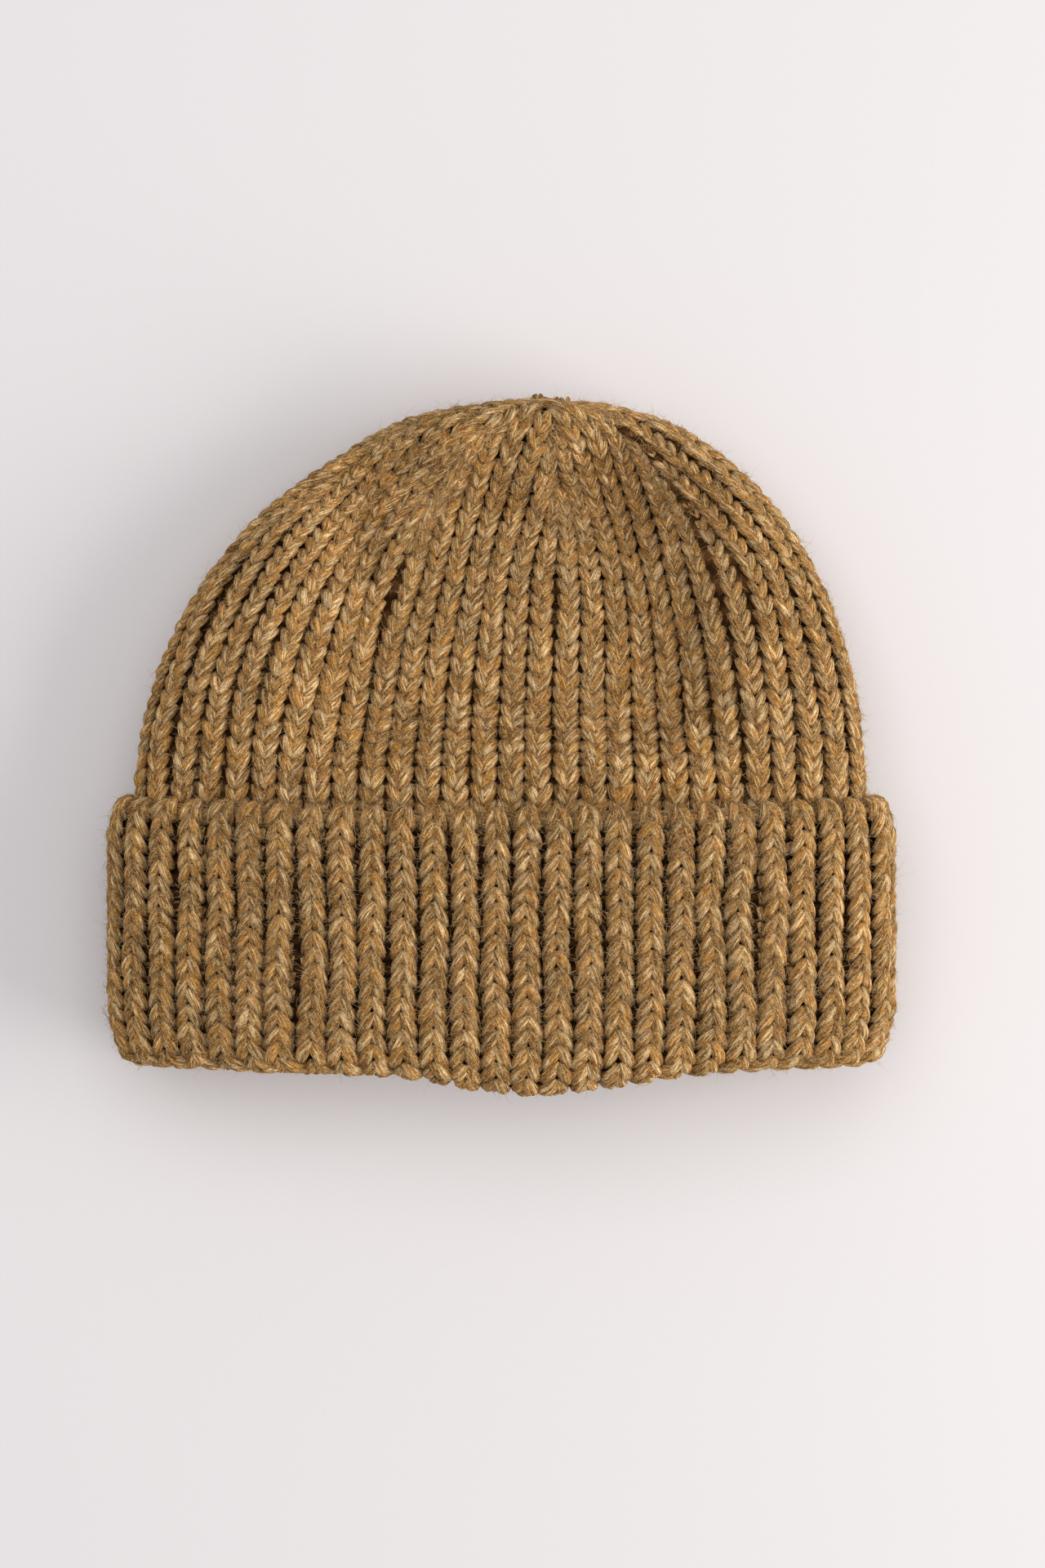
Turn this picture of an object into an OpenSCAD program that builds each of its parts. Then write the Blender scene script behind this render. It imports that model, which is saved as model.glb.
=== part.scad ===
/* [Hat] */
// Width of the hat across the cuff, lying flat
hat_w = 230; // [220:1:240]
// Length of the hat from the mouth to the tip of the crown
hat_l = 202; // [196:1:212]
// Height of the cuff above the table
cuff_h = 54; // [52:1:58]
// Thickness of one layer of the rib knit
layer = 8; // [7.5:0.1:8.2]

/* [Cuff] */
// Length of the turned-up cuff, without its rolled edge and the fold
cuff_l = 68; // [62:1:70]
// Depth of the fold at the middle of the front
fold_front = 13; // [9:1:14]
// Depth of the fold at the sides
fold_side = 5; // [4:1:8]
// Depth of the fold at the back
fold_back = 8; // [6:1:10]
// Depth of the rolled cast-on edge
edge_l = 5; // [4:0.5:6]
// Width of the front panel of the cuff, the part that lifts
flap_w = 168; // [150:1:180]
// Squareness of the cuff's outline, where 2 is an ellipse
outline_n = 2.6; // [2.3:0.1:3]

/* [Crown] */
// Height of the crown above the table
crown_h = 49; // [47:1:50]
// Sideways lean of the crown's tip
tip_lean = 11; // [0:1:12]
// Height of the closed tip above the table
tip_z = 20; // [16:1:22]
// Roundness of the crown's outline, where 2 is an ellipse
dome_n = 2.1; // [2:0.05:2.3]
// Decrease line near the left edge of the front, as a share of the half width
edge_line = -0.87; // [-0.95:0.01:-0.8]
// Decrease line left of the middle of the front, as a share of the half width
left_line = -0.39; // [-0.5:0.01:-0.3]
// Decrease line near the middle of the front, as a share of the half width
middle_line = 0.15; // [0:0.01:0.25]
// Decrease line on the right of the front, as a share of the half width
right_line = 0.69; // [0.6:0.01:0.75]

/* [Yarn] */
// Thickness of one yarn
yarn_d = 3.4; // [3:0.1:3.6]
// Width of the back seam
seam_w = 6; // [5:0.5:7]

/* [Hidden] */

// Air between the cuff and the band under it, and round the panel that lifts
gap = 0.3;
// Air between pieces of one body whose curved faces lie side by side
hair = 0.1;
// Y of the mouth end, of the cuff's two ends and of the crown's first row
mouth_y = -hat_l / 2;
cuff_y0 = mouth_y + fold_front;
cuff_y1 = cuff_y0 + cuff_l;
crown_y0 = cuff_y1 + 2;
tip_y = hat_l / 2;
// Half widths of the cuff and of the band under it
cuff_r = hat_w / 2;
band_r = cuff_r - layer - gap;
band_lift = layer + gap;
// The crown's last full row of stitches, as an angle up its outline, and its length from first row to tip
last_row = 84;
crown_l = tip_y - crown_y0 - 0.6;
// Share of the crown's length over which it comes down onto the table
settle = 0.25;
// How much the underside is flattened against the table
press = 2;
// Steps along one gore, round one gore, round a whole section and round a fold's profile
row_n = 12;
gore_n = 8;
ring_n = 96;
turn_n = 8;
knit = "#8f6b44";
knit_shade = "#7c5a36";
yarn = "#a98557";

// Sign-keeping power, for rounded outlines
function soft_pow(v, e) = sign(v) * pow(abs(v), e);

// S-shaped step from 0 to 1
function smooth(t) = let (c = max(0, min(1, t))) c * c * (3 - 2 * c);

// Point [x, z] at angle a of a flattened outline with half width r, between heights lo and hi.
// The lower half is pressed flat at the height lo.
function outline_point(a, r, lo, hi, n = outline_n) =
    let (mid = (lo + hi) / 2)
    let (half = (hi - lo) / 2)
    let (drop = sin(a) < 0 ? half + press : half)
    [r * soft_pow(cos(a), 2 / n), max(lo, mid + drop * soft_pow(sin(a), 2 / n))];

// Whole outline, anticlockwise from the right-hand side
function outline(r, lo, hi) = [for (i = [0 : ring_n - 1]) outline_point(360 * i / ring_n, r, lo, hi)];

// Angle at which an outline of half width r passes x on its upper half
function angle_at(x, r) = acos(soft_pow(x / r, outline_n / 2));

// Triangles over a grid of points with the given rows and columns, wound one way
function grid_faces(rows, cols, first = 0, close = false) = [
    for (i = [0 : rows - 2])
        for (j = [0 : close ? cols - 1 : cols - 2])
            let (a = first + i * cols + j)
            let (b = first + i * cols + (j + 1) % cols)
            each [[a, b, b + cols], [a, b + cols, a + cols]]
];

// Cuff wall between its outer and inner outlines
module cuff_section() {
    difference() {
        polygon(outline(cuff_r, 0, cuff_h));
        polygon(outline(cuff_r - layer, layer, cuff_h - layer));
    }
}

// Extrudes an X-Z section along Y from y0 to y1
module along_y(y0, y1) {
    translate([0, y1, 0]) rotate([90, 0, 0]) linear_extrude(y1 - y0) children();
}

// Half-round roll that closes a wall's end at y0 and bulges by depth(t), whose sign gives the side.
// outer and inner list the wall's two edges, point by point, as [x, z].
module roll(outer, inner, y0, depth, close = false) {
    rows = len(outer);
    cols = turn_n + 1;
    points = [
        for (i = [0 : rows - 1])
            let (mid = (outer[i] + inner[i]) / 2)
            let (half = (outer[i] - inner[i]) / 2)
            for (j = [0 : turn_n])
                let (p = mid + half * cos(180 * j / turn_n))
                [p.x, y0 + depth[i] * sin(180 * j / turn_n), p.y]
    ];
    wall = grid_faces(rows, cols, 0, true);
    loop = [for (j = [0 : cols - 1]) let (a = (rows - 1) * cols + j)
        let (b = (rows - 1) * cols + (j + 1) % cols) let (c = (j + 1) % cols)
        each [[a, b, c], [a, c, j]]];
    ends = [[for (j = [cols - 1 : -1 : 0]) j], [for (j = [0 : cols - 1]) (rows - 1) * cols + j]];
    faces = concat(wall, close ? loop : ends);
    polyhedron(points, depth[0] > 0 ? faces : [for (f = faces) [for (k = [len(f) - 1 : -1 : 0]) f[k]]]);
}

// Front panel of the cuff: it lifts about its lower edge
module cuff_front() {
    color(knit) along_y(cuff_y0 + gap, cuff_y1) intersection() {
        cuff_section();
        translate([-flap_w / 2, cuff_h / 2]) square([flap_w, cuff_h]);
    }
}

// Back panel of the cuff: the hat rests on it
module cuff_back() {
    color(knit_shade) along_y(cuff_y0, cuff_y1) intersection() {
        cuff_section();
        translate([-flap_w / 2 - gap, -cuff_h / 2]) square([flap_w + 2 * gap, cuff_h]);
    }
}

// One side turn of the cuff, on the right for side = 1 and on the left for side = -1
module cuff_side(side) {
    color(knit) along_y(cuff_y0, cuff_y1) intersection() {
        cuff_section();
        translate([side > 0 ? flap_w / 2 + gap : -cuff_r, 0]) square([cuff_r - flap_w / 2 - gap, cuff_h]);
    }
}

module cuff_left_side() {
    cuff_side(-1);
}

module cuff_right_side() {
    cuff_side(1);
}

// Points along an outline of half width r from angle a0 to a1
function arc_points(a0, a1, steps, r, lo, hi) =
    [for (i = [0 : steps]) outline_point(a0 + (a1 - a0) * i / steps, r, lo, hi)];

// Rolled cast-on edge of the panel that lifts
module cast_on_edge_front() {
    steps = 24;
    out_a = angle_at(flap_w / 2, cuff_r);
    in_a = angle_at(flap_w / 2, cuff_r - layer);
    color(yarn) roll(
        arc_points(out_a, 180 - out_a, steps, cuff_r, 0, cuff_h),
        arc_points(in_a, 180 - in_a, steps, cuff_r - layer, layer, cuff_h - layer),
        cuff_y1, [for (i = [0 : steps]) edge_l]);
}

// Rolled cast-on edge of the sides and the back
module cast_on_edge_back() {
    steps = 64;
    out_a = angle_at(flap_w / 2 + gap, cuff_r);
    in_a = angle_at(flap_w / 2 + gap, cuff_r - layer);
    color(yarn) roll(
        arc_points(180 - out_a, 360 + out_a, steps, cuff_r, 0, cuff_h),
        arc_points(180 - in_a, 360 + in_a, steps, cuff_r - layer, layer, cuff_h - layer),
        cuff_y1, [for (i = [0 : steps]) edge_l]);
}

// Depth of the fold at angle a: deepest at the middle of the front, least at the sides
function fold_depth(a) =
    fold_side + (sin(a) > 0 ? fold_front - fold_side : fold_back - fold_side) * pow(abs(sin(a)), 2);

// Turned fold at the mouth, from the cuff's outside to the band's inside
module brim_fold() {
    color(knit_shade) roll(
        outline(cuff_r, 0, cuff_h),
        outline(band_r - layer, band_lift + layer, cuff_h - band_lift - layer),
        cuff_y0, [for (i = [0 : ring_n - 1]) -fold_depth(360 * i / ring_n)], close = true);
}

// Rib band under the cuff, from the fold to the crown's first row
module inner_band() {
    color(knit_shade) along_y(cuff_y0, crown_y0) difference() {
        polygon(outline(band_r, band_lift, cuff_h - band_lift));
        polygon(outline(band_r - layer, band_lift + layer, cuff_h - band_lift - layer));
    }
}

// Point of the crown at section angle a and row angle s, with wall = 0 outside and 1 inside.
// Its half width and its length follow a rounded outline, it comes down onto the table past the
// cuff, and its underside lifts again towards the closed tip.
function crown_point(a, s, wall) =
    let (reach = pow(sin(s), 2 / dome_n))
    let (taken = wall * layer)
    let (under_cuff = 1 - smooth(reach / settle))
    let (full = (crown_h - under_cuff * (crown_h - cuff_h + 2 * band_lift)) / 2)
    let (thin = pow(cos(s), 0.7))
    let (mid = crown_h / 2 * thin + under_cuff * (cuff_h - crown_h) / 2 + tip_z * pow(sin(s), 8))
    let (lo = mid - (full - taken) * thin)
    let (hi = mid + (full - taken) * thin)
    let (p = outline_point(a, (band_r - taken) * pow(cos(s), 2 / dome_n), lo, hi))
    [p.x + tip_lean * reach * reach, crown_y0 + (crown_l - taken) * reach, p.y];

// Row angles up the crown, a little closer together where it comes out of the cuff
function row_angle(i) = last_row * pow(i / row_n, 1.15);

// One gore of the crown: seven ribs between two decrease lines, at section angles a0 and a1
module gore(a0, a1) {
    cols = gore_n + 1;
    rows = row_n + 1;
    skin = rows * cols;
    points = [
        for (wall = [0, 1])
            for (i = [0 : row_n])
                for (j = [0 : gore_n])
                    crown_point(a0 + (a1 - a0) * j / gore_n, row_angle(i), wall)
    ];
    outside = grid_faces(rows, cols);
    inside = [for (f = grid_faces(rows, cols, skin)) [f[0], f[2], f[1]]];
    row_ends = [
        for (j = [0 : gore_n - 1])
            let (t = row_n * cols + j)
            each [[j, j + skin, j + 1], [j + 1, j + skin, j + 1 + skin],
                  [t, t + 1, t + skin], [t + 1, t + 1 + skin, t + skin]]
    ];
    sides = [
        for (i = [0 : row_n - 1])
            let (a = i * cols)
            let (b = a + gore_n)
            each [[a, a + cols, a + skin], [a + cols, a + cols + skin, a + skin],
                  [b, b + skin, b + cols], [b + cols, b + skin, b + cols + skin]]
    ];
    polyhedron(points, concat(outside, inside, row_ends, sides));
}

// Section angle of a decrease line that stands at a share of the half width: on the front as it is,
// and for back = 1 on the back, where the same four lines come half a turn further round
function line_angle(share, back = 0) = acos(soft_pow(share, outline_n / 2)) + 180 * back;

module crown_gore_right_front() {
    color(knit) gore(line_angle(edge_line, 1) - 360, line_angle(right_line));
}

module crown_gore_middle_right() {
    color(knit_shade) gore(line_angle(right_line), line_angle(middle_line));
}

module crown_gore_middle_left() {
    color(knit) gore(line_angle(middle_line), line_angle(left_line));
}

module crown_gore_left_front() {
    color(knit_shade) gore(line_angle(left_line), line_angle(edge_line));
}

module crown_gore_left_back() {
    color(knit) gore(line_angle(edge_line), line_angle(right_line, 1));
}

module crown_gore_back_left() {
    color(knit_shade) gore(line_angle(right_line, 1), line_angle(middle_line, 1));
}

module crown_gore_back_right() {
    color(knit) gore(line_angle(middle_line, 1), line_angle(left_line, 1));
}

module crown_gore_right_back() {
    color(knit_shade) gore(line_angle(left_line, 1), line_angle(edge_line, 1));
}

// Section [x, z] of the crown's opening at the last row, drawn in by a hair
function tip_section() = [
    for (i = [0 : 3 : ring_n - 1])
        let (p = crown_point(360 * i / ring_n, last_row, 1))
        let (mid = crown_point(0, last_row, 1).z)
        let (cx = tip_lean * pow(sin(last_row), 4 / dome_n))
        [cx + (p.x - cx) * 0.94, mid + (p.z - mid) * 0.94]
];

// Last stitches, drawn up into a plug by the gathering yarn
module crown_gather() {
    color(yarn) along_y(crown_point(0, last_row, 1).y, tip_y) polygon(tip_section());
}

// End of the gathering yarn, hanging from the plug inside the crown
module crown_tail() {
    end = crown_point(0, last_row, 1);
    reach = 26;
    color(yarn) translate([tip_lean, end.y - reach, end.z]) rotate([-90, 0, 0])
        cylinder(d = yarn_d, h = reach, $fn = 24);
}

// Inside of the back at row i of the crown, on the line of the seam
function seam_point(i) = crown_point(270, row_angle(i), 1);

// Sewn seam along the inside of the back, from the fold to near the tip
module back_seam() {
    last = row_n - 3;
    h = yarn_d * 0.8;
    stops = concat([[0, cuff_y0, band_lift + layer]], [for (i = [0 : last]) seam_point(i)]);
    points = [
        for (p = stops)
            each [[p.x - seam_w / 2, p.y, p.z + hair], [p.x + seam_w / 2, p.y, p.z + hair],
                  [p.x + seam_w / 4, p.y, p.z + h], [p.x - seam_w / 4, p.y, p.z + h]]
    ];
    rows = len(stops);
    ends = [[0, 1, 2, 3], [for (k = [3 : -1 : 0]) (rows - 1) * 4 + k]];
    walls = [for (f = grid_faces(rows, 4, 0, true)) [f[0], f[2], f[1]]];
    color(yarn) polyhedron(points, concat(walls, ends));
}

// End of the cast-on yarn, woven in beside the seam
module cast_on_tail() {
    tail_l = 45;
    color(yarn) translate([seam_w, cuff_y0 + 6, band_lift + layer + yarn_d / 2 + hair])
        rotate([-90, 0, 0]) cylinder(d = yarn_d, h = tail_l, $fn = 24);
}

cuff_front();
cuff_back();
cuff_left_side();
cuff_right_side();
cast_on_edge_front();
cast_on_edge_back();
brim_fold();
inner_band();
crown_gore_left_front();
crown_gore_middle_left();
crown_gore_middle_right();
crown_gore_right_front();
crown_gore_right_back();
crown_gore_back_right();
crown_gore_back_left();
crown_gore_left_back();
crown_gather();
crown_tail();
back_seam();
cast_on_tail();
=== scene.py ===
import math

import bpy
import numpy as np
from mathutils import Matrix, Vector


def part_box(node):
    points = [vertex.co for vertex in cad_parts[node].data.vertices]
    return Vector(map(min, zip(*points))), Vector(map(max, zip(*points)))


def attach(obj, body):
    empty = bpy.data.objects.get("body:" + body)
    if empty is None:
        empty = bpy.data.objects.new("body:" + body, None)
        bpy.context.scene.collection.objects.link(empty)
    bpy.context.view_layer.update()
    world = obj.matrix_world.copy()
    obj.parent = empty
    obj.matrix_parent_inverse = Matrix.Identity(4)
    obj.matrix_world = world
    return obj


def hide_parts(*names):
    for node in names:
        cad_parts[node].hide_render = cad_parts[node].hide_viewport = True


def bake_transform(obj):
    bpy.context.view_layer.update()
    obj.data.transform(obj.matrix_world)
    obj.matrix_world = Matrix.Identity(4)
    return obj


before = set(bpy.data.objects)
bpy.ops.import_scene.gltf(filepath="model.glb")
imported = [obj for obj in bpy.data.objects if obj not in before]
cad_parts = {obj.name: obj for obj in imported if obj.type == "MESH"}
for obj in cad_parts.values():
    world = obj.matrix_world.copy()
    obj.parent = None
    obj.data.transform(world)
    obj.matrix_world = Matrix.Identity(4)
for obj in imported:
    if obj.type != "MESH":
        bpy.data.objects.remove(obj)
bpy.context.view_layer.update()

# Camera, table and light. The hat lies on its back on a pale table and is looked at from
# straight above; a big soft window stands low on the right.

def box_mm(node):
    """Lowest and highest corners of a CAD node, in millimetres."""
    low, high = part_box(node)
    return 1000 * np.array(low), 1000 * np.array(high)


cuff_h = box_mm("cuff_front")[1][2]
sensor_mm = 24.0
# Where the camera hangs and how much it sees across at half the cuff's height, in millimetres
eye = np.array([6.2, -11.9, 900.0])
seen_width = 303.4
studio = bpy.context.scene
camera = bpy.data.objects.new("camera", bpy.data.cameras.new("camera"))
camera.data.sensor_fit = "HORIZONTAL"
camera.data.sensor_width = sensor_mm
camera.data.lens = sensor_mm * (eye[2] - cuff_h / 2) / seen_width
camera.location = eye / 1000
studio.collection.objects.link(camera)
studio.camera = camera
studio.view_settings.view_transform = "Standard"


def soft_light(name, place, size, watts, colour):
    """Square area light of a size in metres, turned to face a point in the hat."""
    aim = (0.0, 0.0, 0.02)
    light = bpy.data.lights.new(name, "AREA")
    light.size = size
    light.energy = watts
    light.color = colour
    lamp = bpy.data.objects.new(name, light)
    lamp.location = place
    lamp.rotation_euler = (Vector(place) - Vector(aim)).to_track_quat("Z", "Y").to_euler()
    studio.collection.objects.link(lamp)


soft_light("window", place=(1.46, -0.26, 0.68), size=1.25, watts=23.6, colour=(1.0, 0.98, 0.955))
soft_light("ceiling", place=(-0.15, 0.62, 2.2), size=2.4, watts=25.0, colour=(1.0, 0.99, 0.985))
room_colour, room_strength = (0.93, 0.95, 1.0, 1.0), 0.45
studio.world = bpy.data.worlds.new("room")
studio.world.use_nodes = True
room_light = studio.world.node_tree.nodes["Background"].inputs
room_light["Color"].default_value = room_colour
room_light["Strength"].default_value = room_strength

table_half = 3.0
table_colour, table_roughness = (0.80, 0.76, 0.755, 1.0), 0.75
table_mesh = bpy.data.meshes.new("table")
table_corners = [(table_half * x, table_half * y, 0) for x, y in ((-1, -1), (1, -1), (1, 1), (-1, 1))]
table_mesh.from_pydata(table_corners, [], [(0, 1, 2, 3)])
table = bpy.data.objects.new("table", table_mesh)
studio.collection.objects.link(table)
table_paint = bpy.data.materials.new("table_paint")
table_paint.use_nodes = True
table_shader = table_paint.node_tree.nodes["Principled BSDF"].inputs
table_shader["Base Color"].default_value = table_colour
table_shader["Roughness"].default_value = table_roughness
table_mesh.materials.append(table_paint)

# Turned-up cuff. One-by-one rib in a bulky wool yarn, knitted downwards from the cast-on edge
# and turned up, so its stitches point down. Front, back and side turns are one piece of cloth.

cuff_low, cuff_high = box_mm("cuff_left_side")
band_low, band_high = box_mm("inner_band")
cuff_r = -cuff_low[0]
cuff_y0, cuff_y1 = cuff_low[1], cuff_high[1]
edge_l = box_mm("cast_on_edge_front")[1][1] - cuff_y1
band_r, band_lift, crown_y0 = band_high[0], band_low[2], band_high[1]
# One layer of cloth: the band lies on it with a little play
layer = band_lift - 0.3
# Power of the flattened ring that the hat's section follows, and how far its underside is pressed
outline_n = 2.6
press = 2.0
ribs = 56
row = 4.5
# How deep under the face of the cloth the middle of its rib stitches lies, and its ground
rib_sink = 3.3
ground_top, ground_bottom = 4.5, 5.2
# Share of the way round at which the decrease line near the middle of the front stands
middle_line = 0.216


def soft_power(v, e):
    """v to the power e with its sign kept."""
    return np.sign(v) * np.abs(v) ** e


def smooth(t):
    """S-shaped step from 0 to 1."""
    c = np.clip(t, 0, 1)
    return c * c * (3 - 2 * c)


def outline_at(angle, radius, low, high):
    """Flattened ring: x is radius times cos^(2/n), z is mid height plus half height times
    sin^(2/n), signs kept, with the lower half pressed flat at the lowest height."""
    half = (high - low) / 2
    drop = np.where(np.sin(angle) < 0, half + press, half)
    x = radius * soft_power(np.cos(angle), 2 / outline_n)
    z = (low + high) / 2 + drop * soft_power(np.sin(angle), 2 / outline_n)
    return x, np.maximum(z, low)


def outline_angles(radius, low, high):
    """Angles and the share of the ring's length reached at each, for laying ribs out evenly."""
    angle = np.linspace(0, 2 * np.pi, 4001)
    x, z = outline_at(angle, radius, low, high)
    run = np.concatenate([[0], np.cumsum(np.hypot(np.diff(x), np.diff(z)))])
    return angle, run / run[-1]


cuff_angles, cuff_shares = outline_angles(cuff_r, 0, cuff_h)
band_angles, band_shares = outline_angles(band_r, band_lift, cuff_h - band_lift)


def cuff_ring(share, sink):
    """x and z on the cuff's outline, sink millimetres inside its face."""
    angle = np.interp(share % 1, cuff_shares, cuff_angles)
    return outline_at(angle, cuff_r - sink, sink, cuff_h - sink)


def band_ring(share, sink):
    """x and z on the band's outline, sink millimetres inside its outer face."""
    angle = np.interp(share % 1, band_shares, band_angles)
    return outline_at(angle, band_r - sink, band_lift + sink, cuff_h - band_lift - sink)


# Depth of the brim's fold at the sides, on the flat front and back, and at the bulge of its front
mouth_y = box_mm("brim_fold")[0][1]
fold_side, fold_flat, fold_back = 2.4, 1.8, 7.4
fold_front = cuff_y0 - mouth_y - 2.8
bulge_x, bulge_left, bulge_right = 10, 31, 36
# Free edge: how far it hangs down at the middle of the front, the share of the cuff's length
# over which a rib curls in, how deep and how far on the curl goes, and where it starts
edge_sag = 4.0
edge_roll = 0.06
curl_deep, curl_on, curl_from = 3.4, 2.6, 5.2
# How far the cuff's corners draw in, at the fold and at the free edge
fold_corner, edge_corner = 3.6, 1.6


def turned_cloth(share, t, sink=rib_sink):
    """The cloth from the free edge (t below 0 curls inwards) down the cuff (0 to 1), round the
    fold (1 to 2) and up the inside of the band (2 to 3), sink millimetres under the face that
    looks outwards on the cuff. The fold is half an ellipse; at the front its depth is a bell
    curve along x."""
    over = np.pi / 2 * np.clip(-t / edge_roll, 0, 1)
    ox, oz = cuff_ring(share, sink + curl_deep * (1 - np.cos(over)))
    ix, iz = band_ring(share, layer - sink)
    flat = np.clip(np.abs(oz - cuff_h / 2) / (cuff_h / 2 - sink), 0, 1) ** outline_n
    bulge = np.exp(-((ox - bulge_x) / np.where(ox < bulge_x, bulge_left, bulge_right)) ** 2)
    full = fold_flat * flat + (fold_front - fold_side - fold_flat) * bulge
    deep = fold_side + np.where(oz > cuff_h / 2, full * flat, (fold_back - fold_side) * flat)
    deep = np.maximum(deep - 0.8 * (sink - rib_sink), 0.8)
    front = np.clip((oz - cuff_h / 2) / (cuff_h / 2), 0, 1)
    top = cuff_y1 + edge_l - curl_from - edge_sag * front * (1 - (ox / cuff_r) ** 2)
    turn = np.pi * np.clip(t - 1, 0, 1)
    mix = (1 + np.cos(turn)) / 2
    x = ix + (ox - ix) * mix
    z = iz + (oz - iz) * mix
    down = top + (cuff_y0 - top) * np.clip(t, 0, 1) + curl_on * np.sin(over)
    y = down - deep * np.sin(turn) + (crown_y0 - cuff_y0) * np.clip(t - 2, 0, 1)
    corner = (fold_corner * smooth((cuff_y0 + 12 - y) / 15)
              + edge_corner * smooth((y - top + 7) / 8) * (t < 1))
    x = x - np.sign(x) * corner * np.abs(ox / cuff_r) ** 5
    return np.stack(np.broadcast_arrays(x, y, z), axis=-1)


def unit(v):
    """v scaled to length 1."""
    return v / np.maximum(np.linalg.norm(v, axis=-1, keepdims=True), 1e-9)


def running_length(points):
    """Length along each path up to each of its points."""
    steps = np.linalg.norm(np.diff(points, axis=-2), axis=-1)
    return np.concatenate([np.zeros_like(steps[..., :1]), np.cumsum(steps, axis=-1)], axis=-1)


def rib_path(surface, share, t, face, sway=None):
    """Path up one rib on a surface(share, t): its points, its across direction, its outward
    normal and its width. face is 1 where across turned onto forward is outward, else -1.
    sway moves the path sideways, in millimetres."""
    step = 0.25 / ribs
    points = surface(share, t)
    across = surface(share + step, t) - surface(share - step, t)
    width = np.linalg.norm(across, axis=-1) / (2 * step * ribs)
    across = unit(across)
    if sway is not None:
        points = points + across * sway[:, None]
    forward = unit(np.gradient(points, axis=0))
    normal = unit(face * np.cross(across, forward))
    return {"points": points, "across": across, "normal": normal, "width": width,
            "run": running_length(points)}


def read_path(path, key, at):
    """A path's values at running lengths, by straight interpolation."""
    values = path[key]
    if values.ndim == 1:
        return np.interp(at, path["run"], values)
    return np.stack([np.interp(at, path["run"], values[:, k]) for k in range(3)], axis=-1)


def stitch_legs(path, starts, pitch, rng, rings=7, fat=0.184, core=0.332, wrap=1.40, reach=1.45):
    """Legs of a column of knit stitches, two to a row. A leg starts deep at the middle of the
    rib under the row before, comes up over it and winds aside and down: its centre line keeps
    core times the rib's width from the rib's axis, at an angle that grows from 0 to wrap. fat
    is the leg's radius over that width, and reach its length in rows."""
    # In rows, where a leg starts and how far it slips; and the share by which legs differ
    back, slip, uneven = -0.30, 0.06, 0.05
    t = np.linspace(0, 1, rings)
    rows = len(starts)
    side = np.array([-1.0, 1.0])[None, :, None]
    wild = rng.normal(0, 1, (rows, 2, 4, 1))
    pitch = np.broadcast_to(pitch, starts.shape)
    along = starts[:, None, None] + pitch[:, None, None] * (back + reach * t + slip * wild[:, :, 0])
    width = read_path(path, "width", along)
    angle = -0.04 + wrap * t * (1 + uneven * wild[:, :, 2])
    rise = 0.80 + 0.20 * np.sin(np.pi / 2 * np.minimum(1, t / 0.36))
    away = core * width * rise * (1 + uneven * wild[:, :, 1])
    height = away * np.cos(angle) - (core + fat) * width + rib_sink
    centre = (read_path(path, "points", along)
              + read_path(path, "across", along) * (side * away * np.sin(angle))[..., None]
              + unit(read_path(path, "normal", along)) * height[..., None])
    belly = 0.74 + 0.3 * np.sin(np.pi * (0.05 + 0.85 * t))
    radius = fat * width * belly * (1 + uneven * wild[:, :, 3])
    normal = np.broadcast_to(unit(read_path(path, "normal", along)), centre.shape)
    shape = (rows * 2, rings)
    return centre.reshape(*shape, 3), normal.reshape(*shape, 3), radius.reshape(shape)


def yarn_tubes(centre, normal, radius, sides, rng, flat=0.92):
    """Closed tubes carried along centre lines: each ring is an ellipse across the line, flat
    times as high as wide. Each tube gets one random tint from 0 to 1, UVs that run once round it
    and along it in millimetres, and a depth for painted shade that grows towards its two
    tucked-in ends, so the yarn is drawn darker there."""
    forward = unit(np.gradient(centre, axis=1))
    up = unit(normal - forward * np.sum(normal * forward, axis=-1, keepdims=True))
    beside = np.cross(forward, up)
    phi = 2 * np.pi * np.arange(sides) / sides
    ring = (np.cos(phi)[None, None, :, None] * beside[:, :, None]
            + flat * np.sin(phi)[None, None, :, None] * up[:, :, None])
    points = centre[:, :, None] + ring * radius[:, :, None, None]
    along = running_length(centre) + rng.uniform(0, 40, (len(centre), 1))
    # Painted shade: the depth rises towards both tucked-in ends, where the yarn is drawn darker
    tucked = np.abs(2 * np.linspace(0, 1, centre.shape[1]) - 0.85) ** 2.5
    return {"points": points, "along": along, "tint": rng.uniform(0, 1, len(centre)),
            "deep": np.broadcast_to(tucked, centre.shape[:2])}


def rib_tubes(path, starts, pitch, sides, rng, **form):
    """A rib's stitches as closed tubes of yarn."""
    return yarn_tubes(*stitch_legs(path, starts, pitch, rng, **form), sides, rng)


# A loose hair has a tint above this, and no other tube has
hair_mark = 1.25


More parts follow.
